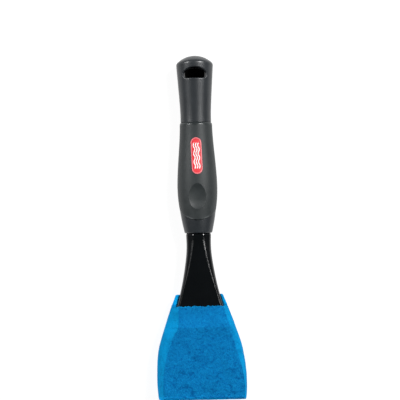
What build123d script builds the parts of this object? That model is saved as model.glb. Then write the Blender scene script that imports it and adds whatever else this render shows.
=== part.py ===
"""Hand-held aquarium scraper, 270 mm long, with a foam pad pulled over its flared scraper.

It lies on its back: X across, Y along the handle (hang hole at +Y, foam at -Y), Z up out of the
front face. The origin is in the middle of the length, on the surface that it rests on. Places
along the object are given as s, the distance in mm from the foam's lower end.
"""
import os
from math import sqrt

from build123d import *

os.makedirs("parts", exist_ok=True)

# ---- driving dimensions, mm ----
LENGTH = 270.0
AXIS_Z = 13.0  # height of the centre line above the resting surface
FAR = 80.0  # further out than any surface, for cutting tools
OVERLAP = 2.0  # how far forms run into each other where they join

# the handle's sections are ellipses: (s, width, depth)
UPPER_HANDLE = [
    (217.7, 24.1, 20.6), (226, 24.2, 20.6), (238, 25.5, 21.6), (251, 27.3, 23.0), (263, 28.9, 24.1),
    (274, 29.4, 24.5)
]
GRIP = [
    (138, 25.8, 22.8), (147, 28.0, 24.3), (156, 30.4, 25.6), (165, 31.4, 26.0), (175, 30.9, 25.7),
    (186, 29.4, 24.7), (196, 27.7, 23.5), (206, 26.2, 22.7), (213, 25.6, 22.5), (220, 25.6, 22.5)
]
COLLAR = [
    (129, 21.0, 18.2), (134, 23.1, 19.6), (138, 24.8, 20.6), (143, 26.6, 21.5), (150, 28.6, 22.5),
    (158, 30.3, 23.4)
]

GRIP_TOP = 217.7
GRIP_SMILE = 141.0  # lowest point of the grip's smiling lower edge
SMILE_RADIUS = 17.0
COLLAR_END = 130.5
COLLAR_ROUND = 1.2
SLEEVE_SIDE = 2.2  # thickness of the grip at the sides
SLEEVE_FRONT = 3.4  # and at the front and back
LIP_ROUND = 1.9  # of the grip's upper edge
SMILE_ROUND = 0.7  # and of its lower one

DOME_RADIUS = 19.5
DOME_EDGE_ROUND = 3.0
HOLE_BASE = 252.2
HOLE_HEIGHT = 8.6
HOLE_WIDTH = 17.0
HOLE_SHOULDER = 4.6  # height of the hole's upright sides
HOLE_CORNER = 2.2
HOLE_EDGE_ROUND = 0.8

WALL = 2.4
UPPER_WALL = 3.4  # above the grip
CAVITY_TOP = 244.0
CAVITY_END = 134.0
PEG_PLACES = [236.0, 206.0]
PEG_RADIUS = 2.0
PEG_LENGTH = 3.0
BOSS_RADIUS = 3.8
PLAY = 0.1  # around pegs and the tang

BADGE_MIDDLE = 191.2
BADGE_LENGTH = 28.5
BADGE_WIDTH = 8.3
BADGE_TILT = 1.6  # degrees
BADGE_RIM = 0.8
BADGE_RECESS = 1.2
FACE_DROP = 0.1  # of the badge's face below the grip's surface
RIM_RISE = 0.35
WAVE_RISE = 0.15
PRINT_GAP = 0.02  # between the badge's face and the waves
WAVE_LENGTH = 19.5
WAVES = 3
WAVE_HEIGHT = 0.5
WAVE_STROKE = 0.8
WAVE_SPACING = 1.75

DIMPLE_WIDTH = 13.4
DIMPLE_DEPTH = 2.2
DIMPLE_DEEPEST = 157.0
DIMPLE_LOW_RADIUS = 18.2  # of the bowl's profile below its deepest place
DIMPLE_HIGH_RADIUS = 38.6  # and above it, where the bowl runs out to a narrower end
DIMPLE_REACH = 60.0  # degrees of each arc, past the grip's surface

# scraper sections, from the neck down:
# (s, width, depth, width of the flat face, thickness at the side, rounding of the face's creases)
SCRAPER = [
    (128.7, 19.6, 14.6, 8.1, 7.1, 5.0), (126.5, 19.4, 14.3, 8.2, 7.0, 5.0),
    (117, 19.5, 13.6, 10.4, 7.4, 4.4), (106, 22.0, 12.2, 14.6, 7.3, 3.0),
    (96, 25.4, 10.8, 19.8, 7.1, 1.8), (86, 29.6, 9.4, 25.4, 6.6, 1.0),
    (73, 36.6, 8.0, 32.6, 5.4, 0.7), (58, 45.2, 6.8, 41.4, 4.3, 0.7),
    (40, 54.0, 5.8, 50.4, 3.4, 0.7), (24, 58.4, 5.2, 55.0, 3.0, 0.7), (10, 60.0, 4.8, 56.8, 2.7, 0.7)
]
# the neck's rounded shoulder under the collar
SHOULDER = [(130.5, 18.6, 13.6, 7.1, 6.1, 4.8), (129.6, 19.36, 14.36, 7.86, 6.86, 5.0), SCRAPER[0]]
SIDE_ROUND = 0.52  # of the side corners, as a share of the thickness there
BLADE_CORNER = 6.0
EDGE_BEVEL = 9.0
EDGE_THICK = 1.2
BEVEL_CLEAR = 0.2  # of the blade's faces, for the tool that cuts the bevels
TANG_TOP = 186.0
TANG_WIDTH = 11.0
TANG_DEPTH = 8.0
TANG_ROUND = 1.5
TANG_PEG_PLACE = 172.0
TANG_PEG_RADIUS = 2.5
RIB_PLACES = [142.0, 182.0]
RIB_THICK = 2.0

# foam down its side: (s, half width in the middle of its thickness, half width of its flat faces)
FOAM_SIDE = [
    (82.2, 18.6, 15.0), (71.5, 22.8, 17.6), (54, 28.9, 21.4), (41, 32.8, 25.4), (30, 34.5, 29.0),
    (16, 35.3, 31.6), (0, 34.3, 31.6)
]
FOAM_THICK = 26.0
FOAM_TOP = FOAM_SIDE[0][0]
FOAM_LIP = 73.0  # upper edge at the front; the back reaches higher
FOAM_LIP_THICK = 13.0
FOAM_SHOULDER = 57.0  # where the faces begin to slope in towards the lip
FOAM_EDGE_ROUND = 3.0
POCKET_PLAY = 0.3


def at(s):
    """The Y of a place s along the object."""
    return s - LENGTH / 2


def across(s):
    """Plane square to the centre line at s, its own x along X and its own y along Z."""
    return Plane(origin=(0, at(s), AXIS_Z), x_dir=(1, 0, 0), z_dir=(0, -1, 0))


def ellipse_form(stations, less_width=0.0, less_depth=0.0):
    """Solid lofted through an ellipse at each (s, width, depth)."""
    with BuildPart() as form:
        for s, width, depth in stations:
            with BuildSketch(across(s)):
                Ellipse((width - less_width) / 2, (depth - less_depth) / 2)
        loft()
    return form.part


def scraper_form(stations, play=0.0):
    """Solid lofted through eight-sided sections with rounded corners."""
    with BuildPart() as form:
        for s, width, depth, flat, side, crease in stations:
            x_side, x_flat = width / 2 + play, flat / 2 + play
            y_side, y_flat = side / 2 + play, depth / 2 + play
            corners = [(x_side, y_side), (x_flat, y_flat), (-x_flat, y_flat), (-x_side, y_side)]
            corners += [(-x, -y) for x, y in corners]
            with BuildSketch(across(s)) as section:
                Polygon(*corners, align=None)
                by_side = section.vertices().group_by(Axis.X)
                fillet(by_side[1] + by_side[2], crease)
                by_side = section.vertices().group_by(Axis.X)
                fillet(by_side[0] + by_side[-1], SIDE_ROUND * side)
        loft()
    return form.part


def slab(s_low, s_high):
    """Block that takes in everything between two places along the object."""
    with BuildPart() as form:
        with BuildSketch(across(s_high)):
            Rectangle(FAR, FAR)
        extrude(amount=s_high - s_low)
    return form.part


def badge_plane():
    """Plane at the centre line under the badge, turned as the badge is."""
    return Plane((0, at(BADGE_MIDDLE), AXIS_Z)).rotated((0, 0, BADGE_TILT))


def badge_pill(shrink=0.0):
    """Upright prism of the badge's outline."""
    with BuildPart() as form:
        with BuildSketch(badge_plane()):
            SlotOverall(BADGE_LENGTH - 2 * shrink, BADGE_WIDTH - 2 * shrink, rotation=90)
        extrude(amount=FAR)
    return form.part


# ---- forms that several pieces are cut from or by ----
grip_outside = ellipse_form(GRIP)
grip_inside = ellipse_form(GRIP, 2 * SLEEVE_SIDE, 2 * SLEEVE_FRONT)
badge_floor = ellipse_form(GRIP, 2 * BADGE_RECESS, 2 * BADGE_RECESS)
badge_face = ellipse_form(GRIP, 2 * FACE_DROP, 2 * FACE_DROP)
badge_rim_top = ellipse_form(GRIP, -2 * RIM_RISE, -2 * RIM_RISE)
badge_wave_base = ellipse_form(GRIP, 2 * (FACE_DROP - PRINT_GAP), 2 * (FACE_DROP - PRINT_GAP))
badge_wave_top = ellipse_form(GRIP, -2 * WAVE_RISE, -2 * WAVE_RISE)
badge_outline = badge_pill()
badge_window = badge_pill(BADGE_RIM)

with BuildPart() as grip_zone:
    smile_y = at(GRIP_SMILE) + SMILE_RADIUS
    with BuildSketch(Plane.XY.offset(-FAR)):
        with Locations((0, (smile_y + at(GRIP_TOP)) / 2)):
            Rectangle(2 * SMILE_RADIUS, at(GRIP_TOP) - smile_y)
        with Locations((0, smile_y)):
            Circle(SMILE_RADIUS)
    extrude(amount=2 * FAR)

with BuildPart() as tang_slot:
    with BuildSketch(across(TANG_TOP + PLAY)):
        Rectangle(TANG_WIDTH + 2 * PLAY, TANG_DEPTH + 2 * PLAY)
    extrude(amount=TANG_TOP - COLLAR_END + OVERLAP)

with BuildPart() as cavity:
    add(ellipse_form(GRIP, 2 * (SLEEVE_SIDE + WALL), 2 * (SLEEVE_FRONT + WALL)))
    add(slab(CAVITY_END, GRIP_TOP), mode=Mode.INTERSECT)
    with BuildSketch(across(CAVITY_TOP)):
        Ellipse(UPPER_HANDLE[1][1] / 2 - UPPER_WALL, UPPER_HANDLE[1][2] / 2 - UPPER_WALL)
    extrude(amount=CAVITY_TOP - GRIP_TOP + 2 * OVERLAP)

with BuildPart() as ribs:
    add(cavity.part)
    add([slab(s, s + RIB_THICK) for s in RIB_PLACES], mode=Mode.INTERSECT)
    add(tang_slot.part, mode=Mode.SUBTRACT)

with BuildPart() as end_cutter:
    reach = UPPER_HANDLE[-1][1] / 2 + OVERLAP
    drop = DOME_RADIUS - sqrt(DOME_RADIUS**2 - reach**2)
    with BuildSketch(Plane(origin=(0, at(LENGTH), AXIS_Z))):
        with BuildLine():
            RadiusArc((0, 0), (reach, -drop), DOME_RADIUS)
            Polyline((reach, -drop), (reach, FAR), (0, FAR), (0, 0))
        make_face()
    revolve(axis=Axis((0, 0, AXIS_Z), (0, 1, 0)))

# what the grip is moulded round
with BuildPart() as grip_core:
    add(grip_inside)
    add(slab(COLLAR_END, GRIP_TOP), mode=Mode.INTERSECT)

# the hard collar that shows below the grip's smiling edge
with BuildPart() as collar:
    add(ellipse_form(COLLAR))
    add(slab(COLLAR_END, LENGTH), mode=Mode.INTERSECT)
    fillet(collar.edges().group_by(Axis.Y)[0], COLLAR_ROUND)
    add(grip_zone.part, mode=Mode.SUBTRACT)


def hole_edges(block):
    """The rims where the hang hole breaks out of the front and the back."""
    low, high = at(HOLE_BASE) - 0.1, at(HOLE_BASE + HOLE_HEIGHT) + 0.1
    inside = block.edges().filter_by_position(Axis.Y, low, high)
    return inside.filter_by(lambda edge: abs(edge.center().Z - AXIS_Z) > DOME_RADIUS / 4)


# the hard handle, whole, before it is split into its two shells
with BuildPart() as handle_form:
    add(ellipse_form(UPPER_HANDLE))
    add(end_cutter.part, mode=Mode.SUBTRACT)
    fillet(handle_form.edges().filter_by(GeomType.BSPLINE).sort_by(Axis.Y)[-1], DOME_EDGE_ROUND)
    with BuildSketch(Plane(origin=(0, at(HOLE_BASE), AXIS_Z))):
        with BuildLine():
            Polyline((-HOLE_WIDTH / 2, HOLE_SHOULDER), (-HOLE_WIDTH / 2, 0), (HOLE_WIDTH / 2, 0),
                     (HOLE_WIDTH / 2, HOLE_SHOULDER))
            ThreePointArc((HOLE_WIDTH / 2, HOLE_SHOULDER), (0, HOLE_HEIGHT),
                          (-HOLE_WIDTH / 2, HOLE_SHOULDER))
        fillet(make_face().vertices(), HOLE_CORNER)
    extrude(amount=FAR, both=True, mode=Mode.SUBTRACT)
    add(grip_core.part)
    add(collar.part)
    fillet(hole_edges(handle_form), HOLE_EDGE_ROUND)


# bosses stand across the cavity, and stop short of the tang where they meet it
with BuildPart() as bosses:
    with BuildSketch():
        with Locations([(0, at(s)) for s in [*PEG_PLACES, TANG_PEG_PLACE]]):
            Circle(BOSS_RADIUS)
    extrude(amount=2 * AXIS_Z)
    add(cavity.part, mode=Mode.INTERSECT)
    add(tang_slot.part, mode=Mode.SUBTRACT)

with BuildPart() as hollow_handle:
    add(handle_form.part)
    add(cavity.part, mode=Mode.SUBTRACT)
    add(tang_slot.part, mode=Mode.SUBTRACT)
    add(ribs.part)
    add(bosses.part)


def peg_bores(depth, play):
    """Pins below the parting plane: two that locate the shells and one through the tang."""
    with BuildPart() as pins:
        with BuildSketch(Plane.XY.offset(AXIS_Z)):
            with Locations([(0, at(s)) for s in PEG_PLACES]):
                Circle(PEG_RADIUS + play)
        extrude(amount=-depth)
        tang_peg_top = AXIS_Z + TANG_DEPTH
        tang_bottom = AXIS_Z - TANG_DEPTH / 2
        with BuildSketch(Plane.XY.offset(tang_peg_top)):
            with Locations((0, at(TANG_PEG_PLACE))):
                Circle(TANG_PEG_RADIUS + play)
        extrude(amount=tang_bottom - depth - tang_peg_top)
    return pins.part


pegs = peg_bores(PEG_LENGTH, 0)
sockets = peg_bores(PEG_LENGTH + 4 * PLAY, PLAY)

with BuildPart() as handle_front_shell:
    add(hollow_handle.part)
    split(bisect_by=Plane.XY.offset(AXIS_Z), keep=Keep.TOP)
    add(pegs)
handle_front_shell.part.label = "handle_front_shell"
export_step(handle_front_shell.part, "parts/handle_front_shell.step")

with BuildPart() as handle_back_shell:
    add(hollow_handle.part)
    split(bisect_by=Plane.XY.offset(AXIS_Z), keep=Keep.BOTTOM)
    add(sockets, mode=Mode.SUBTRACT)
handle_back_shell.part.label = "handle_back_shell"
export_step(handle_back_shell.part, "parts/handle_back_shell.step")

# the egg-shaped thumb dimple is cut by a spindle: two arcs turned round a line above the grip
with BuildPart() as dimple:
    crown = AXIS_Z + max(depth for s, width, depth in GRIP) / 2
    rise = DIMPLE_WIDTH**2 / (4 * max(width for s, width, depth in GRIP))
    sag = DIMPLE_DEPTH - rise
    cross_radius = ((DIMPLE_WIDTH / 2) ** 2 + sag**2) / (2 * sag)
    turning_line = Axis((0, at(DIMPLE_DEEPEST), crown - DIMPLE_DEPTH + cross_radius), (0, 1, 0))
    with BuildSketch(Plane(turning_line.position, x_dir=(0, 1, 0), z_dir=(1, 0, 0))):
        with BuildLine():
            deepest = (0, -cross_radius)
            high = JernArc(deepest, (1, 0), DIMPLE_HIGH_RADIUS, DIMPLE_REACH / 2)
            low = JernArc(deepest, (-1, 0), DIMPLE_LOW_RADIUS, -DIMPLE_REACH)
            Polyline(high @ 1, ((high @ 1).X, 0), ((low @ 1).X, 0), low @ 1)
        make_face()
    revolve(axis=turning_line)

with BuildPart() as badge_seat:
    add(badge_outline)
    add(badge_floor, mode=Mode.SUBTRACT)

with BuildPart() as grip_sleeve:
    add(grip_outside)
    add(grip_zone.part, mode=Mode.INTERSECT)
    fillet(grip_sleeve.edges().sort_by(Axis.Y)[0], SMILE_ROUND)
    fillet(grip_sleeve.edges().sort_by(Axis.Y)[-1], LIP_ROUND)
    add(dimple.part, mode=Mode.SUBTRACT)
    add(grip_core.part, mode=Mode.SUBTRACT)
    add(badge_seat.part, mode=Mode.SUBTRACT)
grip_sleeve.part.label = "grip_sleeve"
export_step(grip_sleeve.part, "parts/grip_sleeve.step")

with BuildPart() as badge_hollow:
    add(badge_window)
    add(badge_face, mode=Mode.SUBTRACT)

with BuildPart() as badge_plate:
    add(badge_outline)
    add(badge_rim_top, mode=Mode.INTERSECT)
    add(badge_floor, mode=Mode.SUBTRACT)
    add(badge_hollow.part, mode=Mode.SUBTRACT)
badge_plate.part.label = "badge_plate"
export_step(badge_plate.part, "parts/badge_plate.step")

with BuildPart() as badge_waves:
    with BuildSketch(badge_plane()):
        half_wave = WAVE_LENGTH / (2 * WAVES)
        for middle_x in (-WAVE_SPACING, 0, WAVE_SPACING):
            with BuildLine() as wave:
                for step in range(2 * WAVES):
                    low = step * half_wave - WAVE_LENGTH / 2
                    bulge = WAVE_HEIGHT if step % 2 else -WAVE_HEIGHT
                    SagittaArc((middle_x, low), (middle_x, low + half_wave), bulge)
            trace(wave.line, line_width=WAVE_STROKE)
            with Locations((middle_x, -WAVE_LENGTH / 2), (middle_x, WAVE_LENGTH / 2)):
                Circle(WAVE_STROKE / 2)
    extrude(amount=FAR)
    add(badge_wave_top, mode=Mode.INTERSECT)
    add(badge_wave_base, mode=Mode.SUBTRACT)
badge_waves.part.label = "badge_waves"
export_step(badge_waves.part, "parts/badge_waves.step")

with BuildPart() as scraper_blade:
    blade_end = SCRAPER[-1][0]
    blade_width = SCRAPER[-1][1]
    thick = SCRAPER[-1][2]
    add(scraper_form(SCRAPER))
    add(scraper_form(SHOULDER))
    with BuildSketch(Plane.XY) as blade_outline:
        with Locations((0, at((blade_end + COLLAR_END) / 2))):
            Rectangle(blade_width, COLLAR_END - blade_end)
        fillet(blade_outline.vertices().group_by(Axis.Y)[0], BLADE_CORNER)
    extrude(amount=2 * AXIS_Z, mode=Mode.INTERSECT)
    with BuildSketch(Plane.YZ):
        for side in (1, -1):
            Polygon((at(blade_end), AXIS_Z + side * EDGE_THICK / 2),
                    (at(blade_end + EDGE_BEVEL), AXIS_Z + side * (thick / 2 + BEVEL_CLEAR)),
                    (at(blade_end), AXIS_Z + side * (thick / 2 + BEVEL_CLEAR)), align=None)
    extrude(amount=blade_width, both=True, mode=Mode.SUBTRACT)
    with BuildSketch(across(TANG_TOP)):
        Rectangle(TANG_WIDTH, TANG_DEPTH)
    extrude(amount=TANG_TOP - COLLAR_END)
    with BuildSketch(Plane.XY):
        with Locations((0, at(TANG_PEG_PLACE))):
            Circle(TANG_PEG_RADIUS + PLAY)
    extrude(amount=2 * AXIS_Z, mode=Mode.SUBTRACT)
    fillet(scraper_blade.edges().group_by(Axis.Y)[-1], TANG_ROUND)
scraper_blade.part.label = "scraper_blade"
export_step(scraper_blade.part, "parts/scraper_blade.step")

with BuildPart() as foam_pad:
    for height, flat_face in ((0, True), (AXIS_Z, False), (FOAM_THICK, True)):
        with BuildSketch(Plane.XY.offset(height)):
            with BuildLine():
                side = Spline(*[(flat if flat_face else middle, at(s)) for s, middle, flat in FOAM_SIDE])
                Line(side @ 1, (0, at(0)))
                Line(side @ 0, (0, at(FOAM_TOP)))
                mirror(about=Plane.YZ)
            make_face()
    loft()
    for face in foam_pad.faces().filter_by(Axis.Z):
        fillet(face.edges().sort_by(Axis.Y)[:-2], FOAM_EDGE_ROUND)
    with BuildSketch(Plane.YZ):
        low_lip = AXIS_Z - FOAM_LIP_THICK / 2
        high_lip = AXIS_Z + FOAM_LIP_THICK / 2
        Polygon((at(0), 0), (at(FOAM_SHOULDER), 0), (at(FOAM_TOP), low_lip), (at(FOAM_TOP), AXIS_Z),
                (at(FOAM_LIP), AXIS_Z), (at(FOAM_LIP), high_lip), (at(FOAM_SHOULDER), FOAM_THICK),
                (at(0), FOAM_THICK), align=None)
    extrude(amount=FAR, both=True, mode=Mode.INTERSECT)
    add(scraper_form(SCRAPER, POCKET_PLAY), mode=Mode.SUBTRACT)
foam_pad.part.label = "foam_pad"
export_step(foam_pad.part, "parts/foam_pad.step")
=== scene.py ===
"""The looks of a hand-held aquarium scraper with a foam head, face up on a pale studio floor."""
import math

import bpy
import numpy as np
from mathutils import Euler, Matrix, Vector, noise


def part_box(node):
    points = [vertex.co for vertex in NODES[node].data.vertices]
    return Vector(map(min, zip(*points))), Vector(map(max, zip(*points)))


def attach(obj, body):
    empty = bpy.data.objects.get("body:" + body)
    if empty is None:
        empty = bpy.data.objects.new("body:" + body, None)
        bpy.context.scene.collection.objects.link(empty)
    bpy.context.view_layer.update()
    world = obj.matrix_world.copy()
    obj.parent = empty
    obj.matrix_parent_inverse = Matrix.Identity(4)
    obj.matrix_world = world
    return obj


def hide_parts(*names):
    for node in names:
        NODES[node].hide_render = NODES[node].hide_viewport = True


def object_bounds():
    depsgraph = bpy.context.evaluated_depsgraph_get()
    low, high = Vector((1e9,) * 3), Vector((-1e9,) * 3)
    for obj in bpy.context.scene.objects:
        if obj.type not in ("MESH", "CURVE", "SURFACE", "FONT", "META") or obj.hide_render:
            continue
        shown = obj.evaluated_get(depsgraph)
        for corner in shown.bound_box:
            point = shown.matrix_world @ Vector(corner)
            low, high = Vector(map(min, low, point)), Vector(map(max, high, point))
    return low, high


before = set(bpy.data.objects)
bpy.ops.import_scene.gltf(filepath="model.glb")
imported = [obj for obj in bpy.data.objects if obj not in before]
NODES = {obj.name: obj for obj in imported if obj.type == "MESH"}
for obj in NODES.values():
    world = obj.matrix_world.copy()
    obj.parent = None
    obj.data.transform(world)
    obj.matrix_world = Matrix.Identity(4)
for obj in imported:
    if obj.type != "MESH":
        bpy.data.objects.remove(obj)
cad_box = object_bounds()

MM = 0.001

# ---- the photograph's framing ----
VIEW_WIDTH = 0.3148  # what the square picture takes in across the object's middle height
CAMERA_HEIGHT = 1.6
CAMERA_ROLL = math.radians(-1.36)
# from the object's middle to the picture's middle, along the picture's own axes
FRAME_SHIFT = (0.0013, 0.0215)
SENSOR_WIDTH = 36  # mm
CLIP_END = 20

# ---- the studio ----
FLOOR_HALF = 4.0
FLOOR_GAP = 0.2 * MM  # keeps the floor clear of the pieces that rest on it
FLOOR_GLOW = 0.90
# the floor has a painted shadow under the hang hole, which fades out between these two radii
HOLE_MIDDLE = (0, cad_box[1][1] - 13.5 * MM, 0)
HOLE_SHADE = (8.5 * MM, 11.5 * MM)
LIGHT_DISTANCE = 1.4
# (name, degrees to the right, degrees towards the hang hole's end, size, power)
SOFTBOXES = [
    ("softbox_right", 33, 30, (0.26, 0.34), 18.5),
    ("softbox_left", -44, 30, (0.28, 0.34), 11),
    ("strip_right", 32, 1.2, (0.12, 0.64), 2.3),
    ("strip_left", -44, 2.5, (0.14, 0.58), 0.4),
]
WALL_GREY = (0.62, 0.62, 0.635)
CEILING_GREY = (0.045, 0.045, 0.048)
WALL_HEIGHT = (0.06, 0.50)  # as a direction's Z: walls up to the first, ceiling from the second
ROOM_LEVEL = 0.48
ROOM_TILT = (-0.10, 0.30, 0)  # the room is brighter on the left and at the hang hole's end

# ---- the grip's edges ----
GRIP_END, GRIP_TOP = (corner[1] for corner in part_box("grip_sleeve"))
SMILE_RADIUS = 17 * MM  # of the grip's lower edge
LIP_POLISH = (3.0 * MM, 1.5 * MM)  # below the grip's top: where its polished lip begins and is full

# ---- the foam pad, in mm where no unit is given ----
FOAM_VOXEL = 0.5 * MM
# By distance up the pad: how far its front face lies to the right, where the face ends on each
# side, how rough its skin is and how much painted light and shade brighten or darken it.
FACE_SKEW = [(0, 1.6), (30, 1.4), (42, 1.9), (55, 2.2), (62, 1.8), (73, 0.5), (82, 0.2)]
FACE_LEFT = [(40, -31), (50, -23.0), (56, -19.3), (62, -17.7), (73, -17.0)]
FACE_RIGHT = [(40, 33), (50, 25.4), (57, 21.8), (62, 20.2), (73, 17.9)]
FACE_WEAR = [(0, 0.42), (25, 0.38), (50, 0.26), (73, 0.30)]
# painted light and shade: lighter at the rounded bottom edge and on the strips past the lip, darker
# towards the lip
FACE_PAINTED_SHADING = [
    (0, 1.42), (2.5, 1.28), (4, 0.98), (40, 0.96), (53, 0.92), (58, 0.95), (63, 0.93),
    (67, 0.86), (73, 0.84), (75, 1.2)
]
# how far the whole pad but not its pocket's mouth is shifted, and the half width of that mouth
PAD_SKEW = [(0, 0.1), (20, 0.1), (35, -0.4), (82, -0.5)]
POCKET_SIDE = [(0, 0), (69, 0), (70, 19.4), (73, 18.6), (82, 16.1)]
SHOULDER = 57  # where the face begins to slope in towards the lip
LIP = 73
LIP_TOP = 19.5  # height of the lip above the floor
SIDE_SLOPE = 1.3  # how steeply the sides fall away from the face's edges
CREASE_BLEND = 0.5
CREASE_REACH = 2
SIDE_TURN = (0.12, 0.42)  # how far a surface tilts before it begins to be side, and is all side
FRAY = 1.1  # of the lip's cut edge
FRAY_SIZE = 1.5 * MM
# the foam's relief: the size of each form across, then how far it stands out or in
CELL, CELL_DEPTH = 1.7 * MM, 0.28
CELL_WALL = (0.10, 0.45)  # the wall's thickness and the pore's slope, as shares of a cell
BROAD, BROAD_RISE = 8 * MM, 0.22
LUMP, LUMP_RISE = 2.8 * MM, 0.16
LUMP_SHIFT = Vector((5, 1, 2))
FIBRE, FIBRE_RISE = 2.3 * MM, 0.10
FIBRE_FRACTAL = (0.9, 2.1, 3, 0.9, 2.0)  # dimension, lacunarity, octaves, offset and gain
FIBRE_MEAN = 1.2
WARP, WARP_REACH = 3.1 * MM, 0.7 * MM
# these keep the three noises of the warp apart; noise_vector would differ from run to run
WARP_SHIFTS = [Vector((9.3, -1.5, -8.0)), Vector((-4.7, 5.2, 1.9)), Vector((2.4, -7.7, 6.3))]
SIDE_CALM = 0.55  # how much flatter the relief is on the pad's sides


# ---- shader helpers ----
class Shader:
    """A material with a Principled shader, and short calls that add nodes to it."""

    def __init__(self, name, **sockets):
        self.material = bpy.data.materials.new(name)
        self.material.use_nodes = True
        self.tree = self.material.node_tree
        self.surface = self.tree.nodes["Principled BSDF"]
        for socket, value in sockets.items():
            self.surface.inputs[socket.replace("_", " ")].default_value = value
        self.place = self.add("ShaderNodeTexCoord").outputs["Object"]

    def add(self, kind, **settings):
        node = self.tree.nodes.new(kind)
        for key, value in settings.items():
            setattr(node, key, value)
        return node

    def feed(self, socket, value):
        """Gives a socket another node's output, or a value of its own kind."""
        if isinstance(value, bpy.types.NodeSocket):
            self.tree.links.new(value, socket)
        elif socket.type == "RGBA":
            socket.default_value = (*value, 1)
        else:
            socket.default_value = value

    def attribute(self, name):
        return self.add("ShaderNodeAttribute", attribute_name=name).outputs["Fac"]

    def distance(self, place, middle):
        node = self.add("ShaderNodeVectorMath", operation="DISTANCE")
        self.feed(node.inputs[0], place)
        self.feed(node.inputs[1], middle)
        return node.outputs["Value"]

    def noise(self, size, detail=2.0, roughness=0.5, distortion=0.0, stretch=(1, 1, 1),
              output="Fac"):
        """Noise whose blobs are about size metres across."""
        mapping = self.add("ShaderNodeMapping")
        mapping.inputs["Scale"].default_value = [axis / size for axis in stretch]
        self.feed(mapping.inputs["Vector"], self.place)
        node = self.add("ShaderNodeTexNoise")
        self.feed(node.inputs["Scale"], 1)
        self.feed(node.inputs["Detail"], detail)
        self.feed(node.inputs["Roughness"], roughness)
        self.feed(node.inputs["Distortion"], distortion)
        self.feed(node.inputs["Vector"], mapping.outputs["Vector"])
        return node.outputs[output]

    def cells(self, size, feature, place=None):
        """The distances in a Voronoi pattern whose cells are about size metres across."""
        node = self.add("ShaderNodeTexVoronoi", feature=feature)
        self.feed(node.inputs["Scale"], 1 / size)
        self.feed(node.inputs["Vector"], place or self.place)
        return node.outputs["Distance"]

    def ramp(self, value, stops):
        """A colour ramp; stops are (position, grey level or colour)."""
        node = self.add("ShaderNodeValToRGB")
        elements = node.color_ramp.elements
        while len(elements) < len(stops):
            elements.new(0.5)
        for element, (position, level) in zip(elements, stops):
            color = level if isinstance(level, tuple) else (level, level, level)
            element.position = position
            element.color = (*color, 1)
        self.feed(node.inputs["Fac"], value)
        return node.outputs["Color"]

    def mix(self, kind, amount, first, second):
        """Mixes two colours; the amount is an output or a number."""
        node = self.add("ShaderNodeMix", data_type="RGBA", blend_type=kind)
        for socket, value in ((0, amount), (6, first), (7, second)):
            self.feed(node.inputs[socket], value)
        return node.outputs[2]

    def multiply(self, first, second):
        return self.mix("MULTIPLY", 1.0, first, second)

    def math(self, kind, first, second=0.0):
        node = self.add("ShaderNodeMath", operation=kind)
        self.feed(node.inputs[0], first)
        self.feed(node.inputs[1], second)
        return node.outputs[0]

    def bump(self, height, distance, strength, under=None):
        node = self.add("ShaderNodeBump")
        self.feed(node.inputs["Distance"], distance)
        self.feed(node.inputs["Strength"], strength)
        self.feed(node.inputs["Height"], height)
        if under is not None:
            self.feed(node.inputs["Normal"], under)
        return node.outputs["Normal"]

    def finish(self, color, roughness=None, normal=None):
        for socket, value in (("Base Color", color), ("Roughness", roughness), ("Normal", normal)):
            if value is not None:
                self.feed(self.surface.inputs[socket], value)
        return self.material


# ---- materials ----
def moulded_plastic():
    """Dark satin plastic with a fine spark-eroded grain and faint handling marks."""
    s = Shader("handle_satin_plastic", Specular_IOR_Level=0.5)
    tone = s.noise(9 * MM, detail=4)
    color = s.ramp(tone, [(0.3, (0.0170, 0.0200, 0.0230)), (0.7, (0.0230, 0.0270, 0.0305))])
    grain = s.noise(0.35 * MM, detail=3, roughness=0.6)
    marks = s.noise(2.2 * MM, detail=5, roughness=0.7, stretch=(1, 0.35, 1))
    roughness = s.ramp(s.mix("MIX", 0.35, grain, marks), [(0.3, 0.30), (0.7, 0.39)])
    normal = s.bump(grain, 0.02 * MM, 0.6)
    return s.finish(color, roughness, normal)


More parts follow.
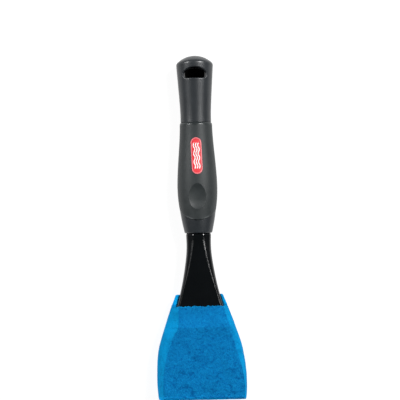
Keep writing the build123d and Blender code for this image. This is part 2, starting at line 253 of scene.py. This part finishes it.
def soft_rubber():
    """Matte moulded rubber with a fine stippled skin, slight mottling and a painted highlight on
    its lower edge.
    """
    s = Shader("grip_soft_rubber", Specular_IOR_Level=0.45)
    tone = s.noise(6 * MM, detail=5, roughness=0.6)
    color = s.ramp(tone, [(0.3, (0.0165, 0.0205, 0.0215)), (0.7, (0.0235, 0.0290, 0.0300))])
    stipple = s.cells(0.55 * MM, "SMOOTH_F1")
    skin = s.noise(0.25 * MM)
    roughness = s.ramp(tone, [(0.25, 0.46), (0.75, 0.54)])

    # The smiling lower edge carries a painted highlight, pale on both sides of its middle. Three
    # measures say where,
    # as shares of its radius: inside the edge, aside of the middle and above the lowest point.
    axes = s.add("ShaderNodeSeparateXYZ")
    s.feed(axes.inputs[0], s.place)
    flat = s.add("ShaderNodeCombineXYZ")
    s.feed(flat.inputs["X"], axes.outputs["X"])
    s.feed(flat.inputs["Y"], axes.outputs["Y"])
    reach = s.distance(flat.outputs[0], (0, GRIP_END + SMILE_RADIUS, 0))
    inside = s.math("DIVIDE", s.math("SUBTRACT", SMILE_RADIUS, reach), SMILE_RADIUS)
    aside = s.math("DIVIDE", s.math("ABSOLUTE", axes.outputs["X"]), SMILE_RADIUS)
    above = s.math("DIVIDE", s.math("SUBTRACT", axes.outputs["Y"], GRIP_END), SMILE_RADIUS)
    painted_highlight = s.multiply(
        s.ramp(inside, [(0.0, 1.0), (0.075, 0.0)]),
        s.ramp(aside, [(0.14, 0.0), (0.30, 1.0), (0.42, 1.0), (0.58, 0.0)]))
    painted_highlight = s.multiply(painted_highlight, s.ramp(above, [(0.6, 1.0), (0.9, 0.0)]))
    # painted highlight: the pale colour laid along the smile's edge
    color = s.mix("MIX", painted_highlight, color, (0.105, 0.115, 0.118))

    lip = s.add("ShaderNodeMapRange")
    s.feed(lip.inputs["Value"], axes.outputs["Y"])
    s.feed(lip.inputs["From Min"], GRIP_TOP - LIP_POLISH[0])
    s.feed(lip.inputs["From Max"], GRIP_TOP - LIP_POLISH[1])
    roughness = s.mix("MIX", lip.outputs[0], roughness, (0.28, 0.28, 0.28))
    normal = s.bump(stipple, 0.03 * MM, 0.5)
    normal = s.bump(skin, 0.015 * MM, 0.5, under=normal)
    return s.finish(color, roughness, normal)


def gloss_plastic():
    """Polished black plastic with faint flow waves and hairline scratches."""
    s = Shader("scraper_gloss_plastic", Specular_IOR_Level=0.5)
    tone = s.noise(14 * MM, detail=3)
    color = s.ramp(tone, [(0.3, (0.0026, 0.0033, 0.0038)), (0.7, (0.0038, 0.0047, 0.0053))])
    hairlines = s.noise(0.30 * MM, detail=3, roughness=0.75, stretch=(1, 0.05, 1))
    roughness = s.ramp(hairlines, [(0.35, 0.12), (0.62, 0.17), (0.75, 0.26)])
    flow = s.noise(16 * MM, detail=1)
    normal = s.bump(flow, 0.06 * MM, 0.5)
    normal = s.bump(hairlines, 0.004 * MM, 0.4, under=normal)
    return s.finish(color, roughness, normal)


def badge_red():
    """Red gloss plastic, a shade lighter where the rim stands up."""
    s = Shader("badge_red_plastic", Specular_IOR_Level=0.5)
    tone = s.noise(3 * MM, detail=4)
    color = s.ramp(tone, [(0.3, (0.66, 0.040, 0.052)), (0.7, (0.76, 0.055, 0.066))])
    edge = s.add("ShaderNodeNewGeometry").outputs["Pointiness"]
    rim_lightening = s.ramp(edge, [(0.5, 0.0), (0.56, 1.0)])
    color = s.mix("MIX", s.math("MULTIPLY", rim_lightening, 0.5), color, (0.86, 0.30, 0.33))
    scuffs = s.noise(0.5 * MM, detail=4, roughness=0.7)
    roughness = s.ramp(scuffs, [(0.35, 0.24), (0.7, 0.38)])
    normal = s.bump(scuffs, 0.008 * MM, 0.5)
    return s.finish(color, roughness, normal)


def mark_white():
    """White raised print, slightly uneven in tone."""
    s = Shader("badge_white_print")
    tone = s.noise(1.2 * MM, detail=4)
    color = s.ramp(tone, [(0.3, (0.80, 0.76, 0.75)), (0.7, (0.90, 0.87, 0.86))])
    roughness = s.ramp(tone, [(0.3, 0.36), (0.7, 0.5)])
    normal = s.bump(tone, 0.01 * MM, 0.4)
    return s.finish(color, roughness, normal)


def open_foam():
    """Coarse open-cell foam: pale strands round pores darkened by painted shade, with painted light
    on its sides.
    """
    s = Shader("foam_open_cell", Roughness=0.92, Specular_IOR_Level=0.03)
    shift = s.add("ShaderNodeVectorMath", operation="MULTIPLY_ADD")
    s.feed(shift.inputs[0], s.noise(2.4 * MM, detail=3, output="Color"))
    s.feed(shift.inputs[1], (1.4 * MM, 1.4 * MM, 1.4 * MM))
    s.feed(shift.inputs[2], s.place)
    fine = s.cells(0.6 * MM, "DISTANCE_TO_EDGE", place=shift.outputs["Vector"])
    strands = s.noise(5.6 * MM, detail=2, roughness=0.55, distortion=2.2)
    clumps = s.noise(4.6 * MM, detail=3, roughness=0.62, distortion=1.2)
    patches = s.noise(12 * MM, detail=4, roughness=0.62)

    wear = s.attribute("wear")
    # painted shade: the colour darkens towards the middle of each fine cell and deeper in each pore
    fine_walls = s.ramp(fine, [(0.03, 1.0), (0.3, 0.25)])
    thread = s.ramp(strands, [(0.455, 0.0), (0.5, 1.0), (0.545, 0.0)])
    dark = s.ramp(clumps, [(0.36, 1.0), (0.47, 0.0)])
    pore_painted_shade = s.math("SUBTRACT", 0.58, s.math("MULTIPLY", s.attribute("pore"), 0.28))
    web = s.mix("MIX", 0.25, pore_painted_shade, fine_walls)
    web = s.math("ADD", web, s.math("MULTIPLY", thread, wear))
    web = s.math("SUBTRACT", web, s.math("MULTIPLY", dark, wear))
    face = s.ramp(web, [
        (0.05, (0.0012, 0.080, 0.262)), (0.45, (0.0020, 0.140, 0.385)),
        (0.95, (0.004, 0.215, 0.500))])
    edge = s.ramp(web, [
        (0.10, (0.0014, 0.205, 0.500)), (0.50, (0.0020, 0.262, 0.590)),
        (0.90, (0.003, 0.305, 0.660))])
    # painted light: the lighter copy of the colour on the pad's sides and past the lip
    color = s.mix("MIX", s.attribute("side"), face, edge)
    color = s.multiply(color, s.ramp(patches, [(0.3, 0.92), (0.7, 1.08)]))
    # painted light and shade up the pad, from the shade attribute
    color = s.multiply(color, s.attribute("shade"))
    normal = s.bump(strands, 0.5 * MM, 0.4)
    normal = s.bump(fine_walls, 0.25 * MM, 0.5, under=normal)
    return s.finish(color, normal=normal)


def studio_white():
    """White paper lit from below as well, but with a painted shadow under the hang hole."""
    s = Shader("studio_white", Roughness=0.9, Specular_IOR_Level=0.1)
    tone = s.noise(0.3)
    away = s.distance(s.place, HOLE_MIDDLE)
    # painted shadow: no colour and no glow on the floor under the hang hole
    shade = s.ramp(away, [(HOLE_SHADE[0], 0.0), (HOLE_SHADE[1], 1.0)])
    s.feed(s.surface.inputs["Emission Color"], shade)
    s.feed(s.surface.inputs["Emission Strength"], FLOOR_GLOW)
    return s.finish(s.multiply(s.ramp(tone, [(0.3, 0.15), (0.7, 0.17)]), shade))


# ---- camera, floor and lights ----
def place_object(name, data):
    obj = bpy.data.objects.new(name, data)
    bpy.context.scene.collection.objects.link(obj)
    return obj


def add_camera():
    camera = bpy.data.cameras.new("camera")
    camera.sensor_width = SENSOR_WIDTH
    camera.lens = camera.sensor_width * (CAMERA_HEIGHT - cad_box[1][2] / 2) / VIEW_WIDTH
    camera.clip_end = CLIP_END
    holder = place_object("camera", camera)
    turn = Euler((0, 0, CAMERA_ROLL))
    shift = Vector((*FRAME_SHIFT, 0))
    shift.rotate(turn)
    (left, low, _), (right, high, _) = cad_box
    holder.location = Vector(((left + right) / 2, (low + high) / 2, CAMERA_HEIGHT)) + shift
    holder.rotation_euler = turn
    bpy.context.scene.camera = holder


def add_floor(material):
    mesh = bpy.data.meshes.new("studio_floor")
    outline = [(-1, -1), (1, -1), (1, 1), (-1, 1)]
    corners = [(FLOOR_HALF * x, FLOOR_HALF * y, -FLOOR_GAP) for x, y in outline]
    mesh.from_pydata(corners, [], [(0, 1, 2, 3)])
    mesh.materials.append(material)
    place_object("studio_floor", mesh)


def add_softbox(name, side_angle, far_angle, size, power):
    """A panel facing the object's middle, at these angles off the vertical in degrees."""
    light = bpy.data.lights.new(name, "AREA")
    light.shape = "RECTANGLE"
    light.size, light.size_y = size
    light.energy = power
    holder = place_object(name, light)
    side, far = math.tan(math.radians(side_angle)), math.tan(math.radians(far_angle))
    aim = Vector((side, far, 1)).normalized()
    holder.location = aim * LIGHT_DISTANCE
    holder.rotation_euler = aim.to_track_quat("Z", "Y").to_euler()


def light_room():
    """Pale walls low down and a dark ceiling, all round the object."""
    world = bpy.data.worlds.new("studio_room")
    world.use_nodes = True
    nodes, links = world.node_tree.nodes, world.node_tree.links
    background = nodes["Background"]
    place = nodes.new("ShaderNodeTexCoord").outputs["Generated"]
    split = nodes.new("ShaderNodeSeparateXYZ")
    height = nodes.new("ShaderNodeValToRGB")
    for stop, position, grey in zip(
            height.color_ramp.elements, WALL_HEIGHT, (WALL_GREY, CEILING_GREY)):
        stop.position, stop.color = position, (*grey, 1)
    facing = nodes.new("ShaderNodeVectorMath")
    facing.operation = "DOT_PRODUCT"
    facing.inputs[1].default_value = ROOM_TILT
    level = nodes.new("ShaderNodeMath")
    level.operation = "ADD"
    level.inputs[1].default_value = ROOM_LEVEL
    links.new(place, split.inputs["Vector"])
    links.new(split.outputs["Z"], height.inputs["Fac"])
    links.new(height.outputs["Color"], background.inputs["Color"])
    links.new(place, facing.inputs[0])
    links.new(facing.outputs["Value"], level.inputs[0])
    links.new(level.outputs[0], background.inputs["Strength"])
    bpy.context.scene.world = world


# ---- foam pad ----
def smoothstep(low, high, value):
    """Rises gently from 0 at low to 1 at high."""
    ramp = np.clip((value - low) / (high - low), 0, 1)
    return ramp * ramp * (3 - 2 * ramp)


def along(up, table):
    """Reads a table of (distance up the pad, value) at each of the places in up."""
    return np.interp(up, [place for place, _ in table], [value for _, value in table])


def mesh_arrays(mesh):
    """The places of a mesh's points and the directions that they face, one row for each."""
    points = np.empty(len(mesh.vertices) * 3, np.float32)
    normals = np.empty(len(mesh.vertices) * 3, np.float32)
    mesh.vertices.foreach_get("co", points)
    mesh.vertex_normals.foreach_get("vector", normals)
    return points.reshape(-1, 3), normals.reshape(-1, 3)


def move_points(mesh, points):
    mesh.vertices.foreach_set("co", points.astype(np.float32).ravel())
    mesh.update()


def add_attribute(mesh, name, values):
    layer = mesh.attributes.new(name, "FLOAT", "POINT")
    layer.data.foreach_set("value", values.astype(np.float32))


def foam_block():
    """The pad's plain form with its points spread evenly and its edges softened."""
    pad = place_object("foam_pad_skin", NODES["foam_pad"].data.copy())
    remesh = pad.modifiers.new("remesh", "REMESH")
    remesh.mode = "VOXEL"
    remesh.voxel_size = FOAM_VOXEL
    soften = pad.modifiers.new("soften", "SMOOTH")
    soften.iterations = 4
    soften.factor = 0.5
    evaluated = pad.evaluated_get(bpy.context.evaluated_depsgraph_get())
    mesh = bpy.data.meshes.new_from_object(evaluated)
    pad.modifiers.clear()
    pad.data = mesh
    return pad


def slope_sides(points, up, face_top):
    """Cuts the block so that the front face ends in a straight edge on each side of the lip."""
    across = points[:, 0] / MM
    height = points[:, 2] / MM
    beyond = np.maximum(across - along(up, FACE_RIGHT), along(up, FACE_LEFT) - across)
    face = np.interp(up, [SHOULDER, LIP], [face_top, LIP_TOP])
    cut = face - SIDE_SLOPE * np.maximum(beyond, 0)
    lower = -CREASE_BLEND * np.logaddexp(-height / CREASE_BLEND, -cut / CREASE_BLEND)
    sloped = (height > face_top / 2) & (beyond > -CREASE_REACH) & (up > FACE_LEFT[0][0])
    points[sloped, 2] = np.maximum(lower[sloped], face_top / 2) * MM


def foam_relief(point):
    """How far foam stands out at a point, in mm, and how deep in a pore it is, from 0 to 1."""
    spot = Vector(point)
    warp = Vector([noise.noise(spot / WARP + shift) for shift in WARP_SHIFTS]) * WARP_REACH
    distances, _ = noise.voronoi((spot + warp) / CELL, distance_metric="DISTANCE")
    pore = min(max((distances[1] - distances[0] - CELL_WALL[0]) / CELL_WALL[1], 0), 1)
    broad = noise.noise(spot / BROAD)
    lumps = noise.noise(spot / LUMP + LUMP_SHIFT)
    fibres = noise.ridged_multi_fractal((spot + warp * 2) / FIBRE, *FIBRE_FRACTAL) - FIBRE_MEAN
    relief = BROAD_RISE * broad + LUMP_RISE * lumps + FIBRE_RISE * fibres - CELL_DEPTH * pore
    return relief, pore


def foam_pad():
    """The pad as a block of coarse foam: cut askew, pitted with pores and frayed at its lip."""
    low, high = (np.array(corner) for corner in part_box("foam_pad"))
    pad = foam_block()
    mesh = pad.data
    points, _ = mesh_arrays(mesh)
    up = (points[:, 1] - low[1]) / MM
    slope_sides(points, up, high[2] / MM)
    move_points(mesh, points)
    points, normals = mesh_arrays(mesh)

    # painted light: surfaces turned to the side, and the strips past the lip, get the lighter
    # colour; the same mask flattens their relief
    sides_calm_and_painted_light = smoothstep(*SIDE_TURN, 1 - np.abs(normals[:, 2]))
    sides_calm_and_painted_light = np.maximum(sides_calm_and_painted_light, smoothstep(LIP + 0.5, LIP + 2, up))
    relief = np.array([foam_relief(point) for point in points])
    strength = 1 - SIDE_CALM * sides_calm_and_painted_light
    moved = points + normals * (relief[:, :1] * strength[:, None]) * MM

    # its front face lies to the right of its middle
    lift = smoothstep(0.5, 1.0, (points[:, 2] - low[2]) / (high[2] - low[2]))
    outside = smoothstep(0.2, 1.2, np.abs(points[:, 0]) / MM - along(up, POCKET_SIDE))
    moved[:, 0] += (along(up, FACE_SKEW) * lift + along(up, PAD_SKEW) * outside) * MM
    # the cut edge of the lip is frayed
    fray = np.array([noise.noise(Vector(point) / FRAY_SIZE) for point in points])
    moved[:, 1] += FRAY * MM * fray * smoothstep(LIP - 2, LIP, up) * (up < LIP + 1.5)
    move_points(mesh, np.clip(moved, low, high))

    add_attribute(mesh, "side", sides_calm_and_painted_light)
    add_attribute(mesh, "pore", relief[:, 1])
    add_attribute(mesh, "wear", along(up, FACE_WEAR))
    # painted light and shade by distance up the pad
    add_attribute(mesh, "shade", along(up, FACE_PAINTED_SHADING))
    mesh.polygons.foreach_set("use_smooth", [True] * len(mesh.polygons))
    mesh.materials.clear()
    mesh.materials.append(open_foam())
    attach(pad, "foam")
    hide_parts("foam_pad")


# ---- the hard pieces keep their CAD shapes ----
def dress(node, material):
    materials = NODES[node].data.materials
    materials.clear()
    materials.append(material)


bpy.context.scene.view_settings.view_transform = "Standard"
add_camera()
add_floor(studio_white())
for softbox in SOFTBOXES:
    add_softbox(*softbox)
light_room()
plastic = moulded_plastic()
dress("handle_front_shell", plastic)
dress("handle_back_shell", plastic)
dress("grip_sleeve", soft_rubber())
dress("badge_plate", badge_red())
dress("badge_waves", mark_white())
dress("scraper_blade", gloss_plastic())
foam_pad()
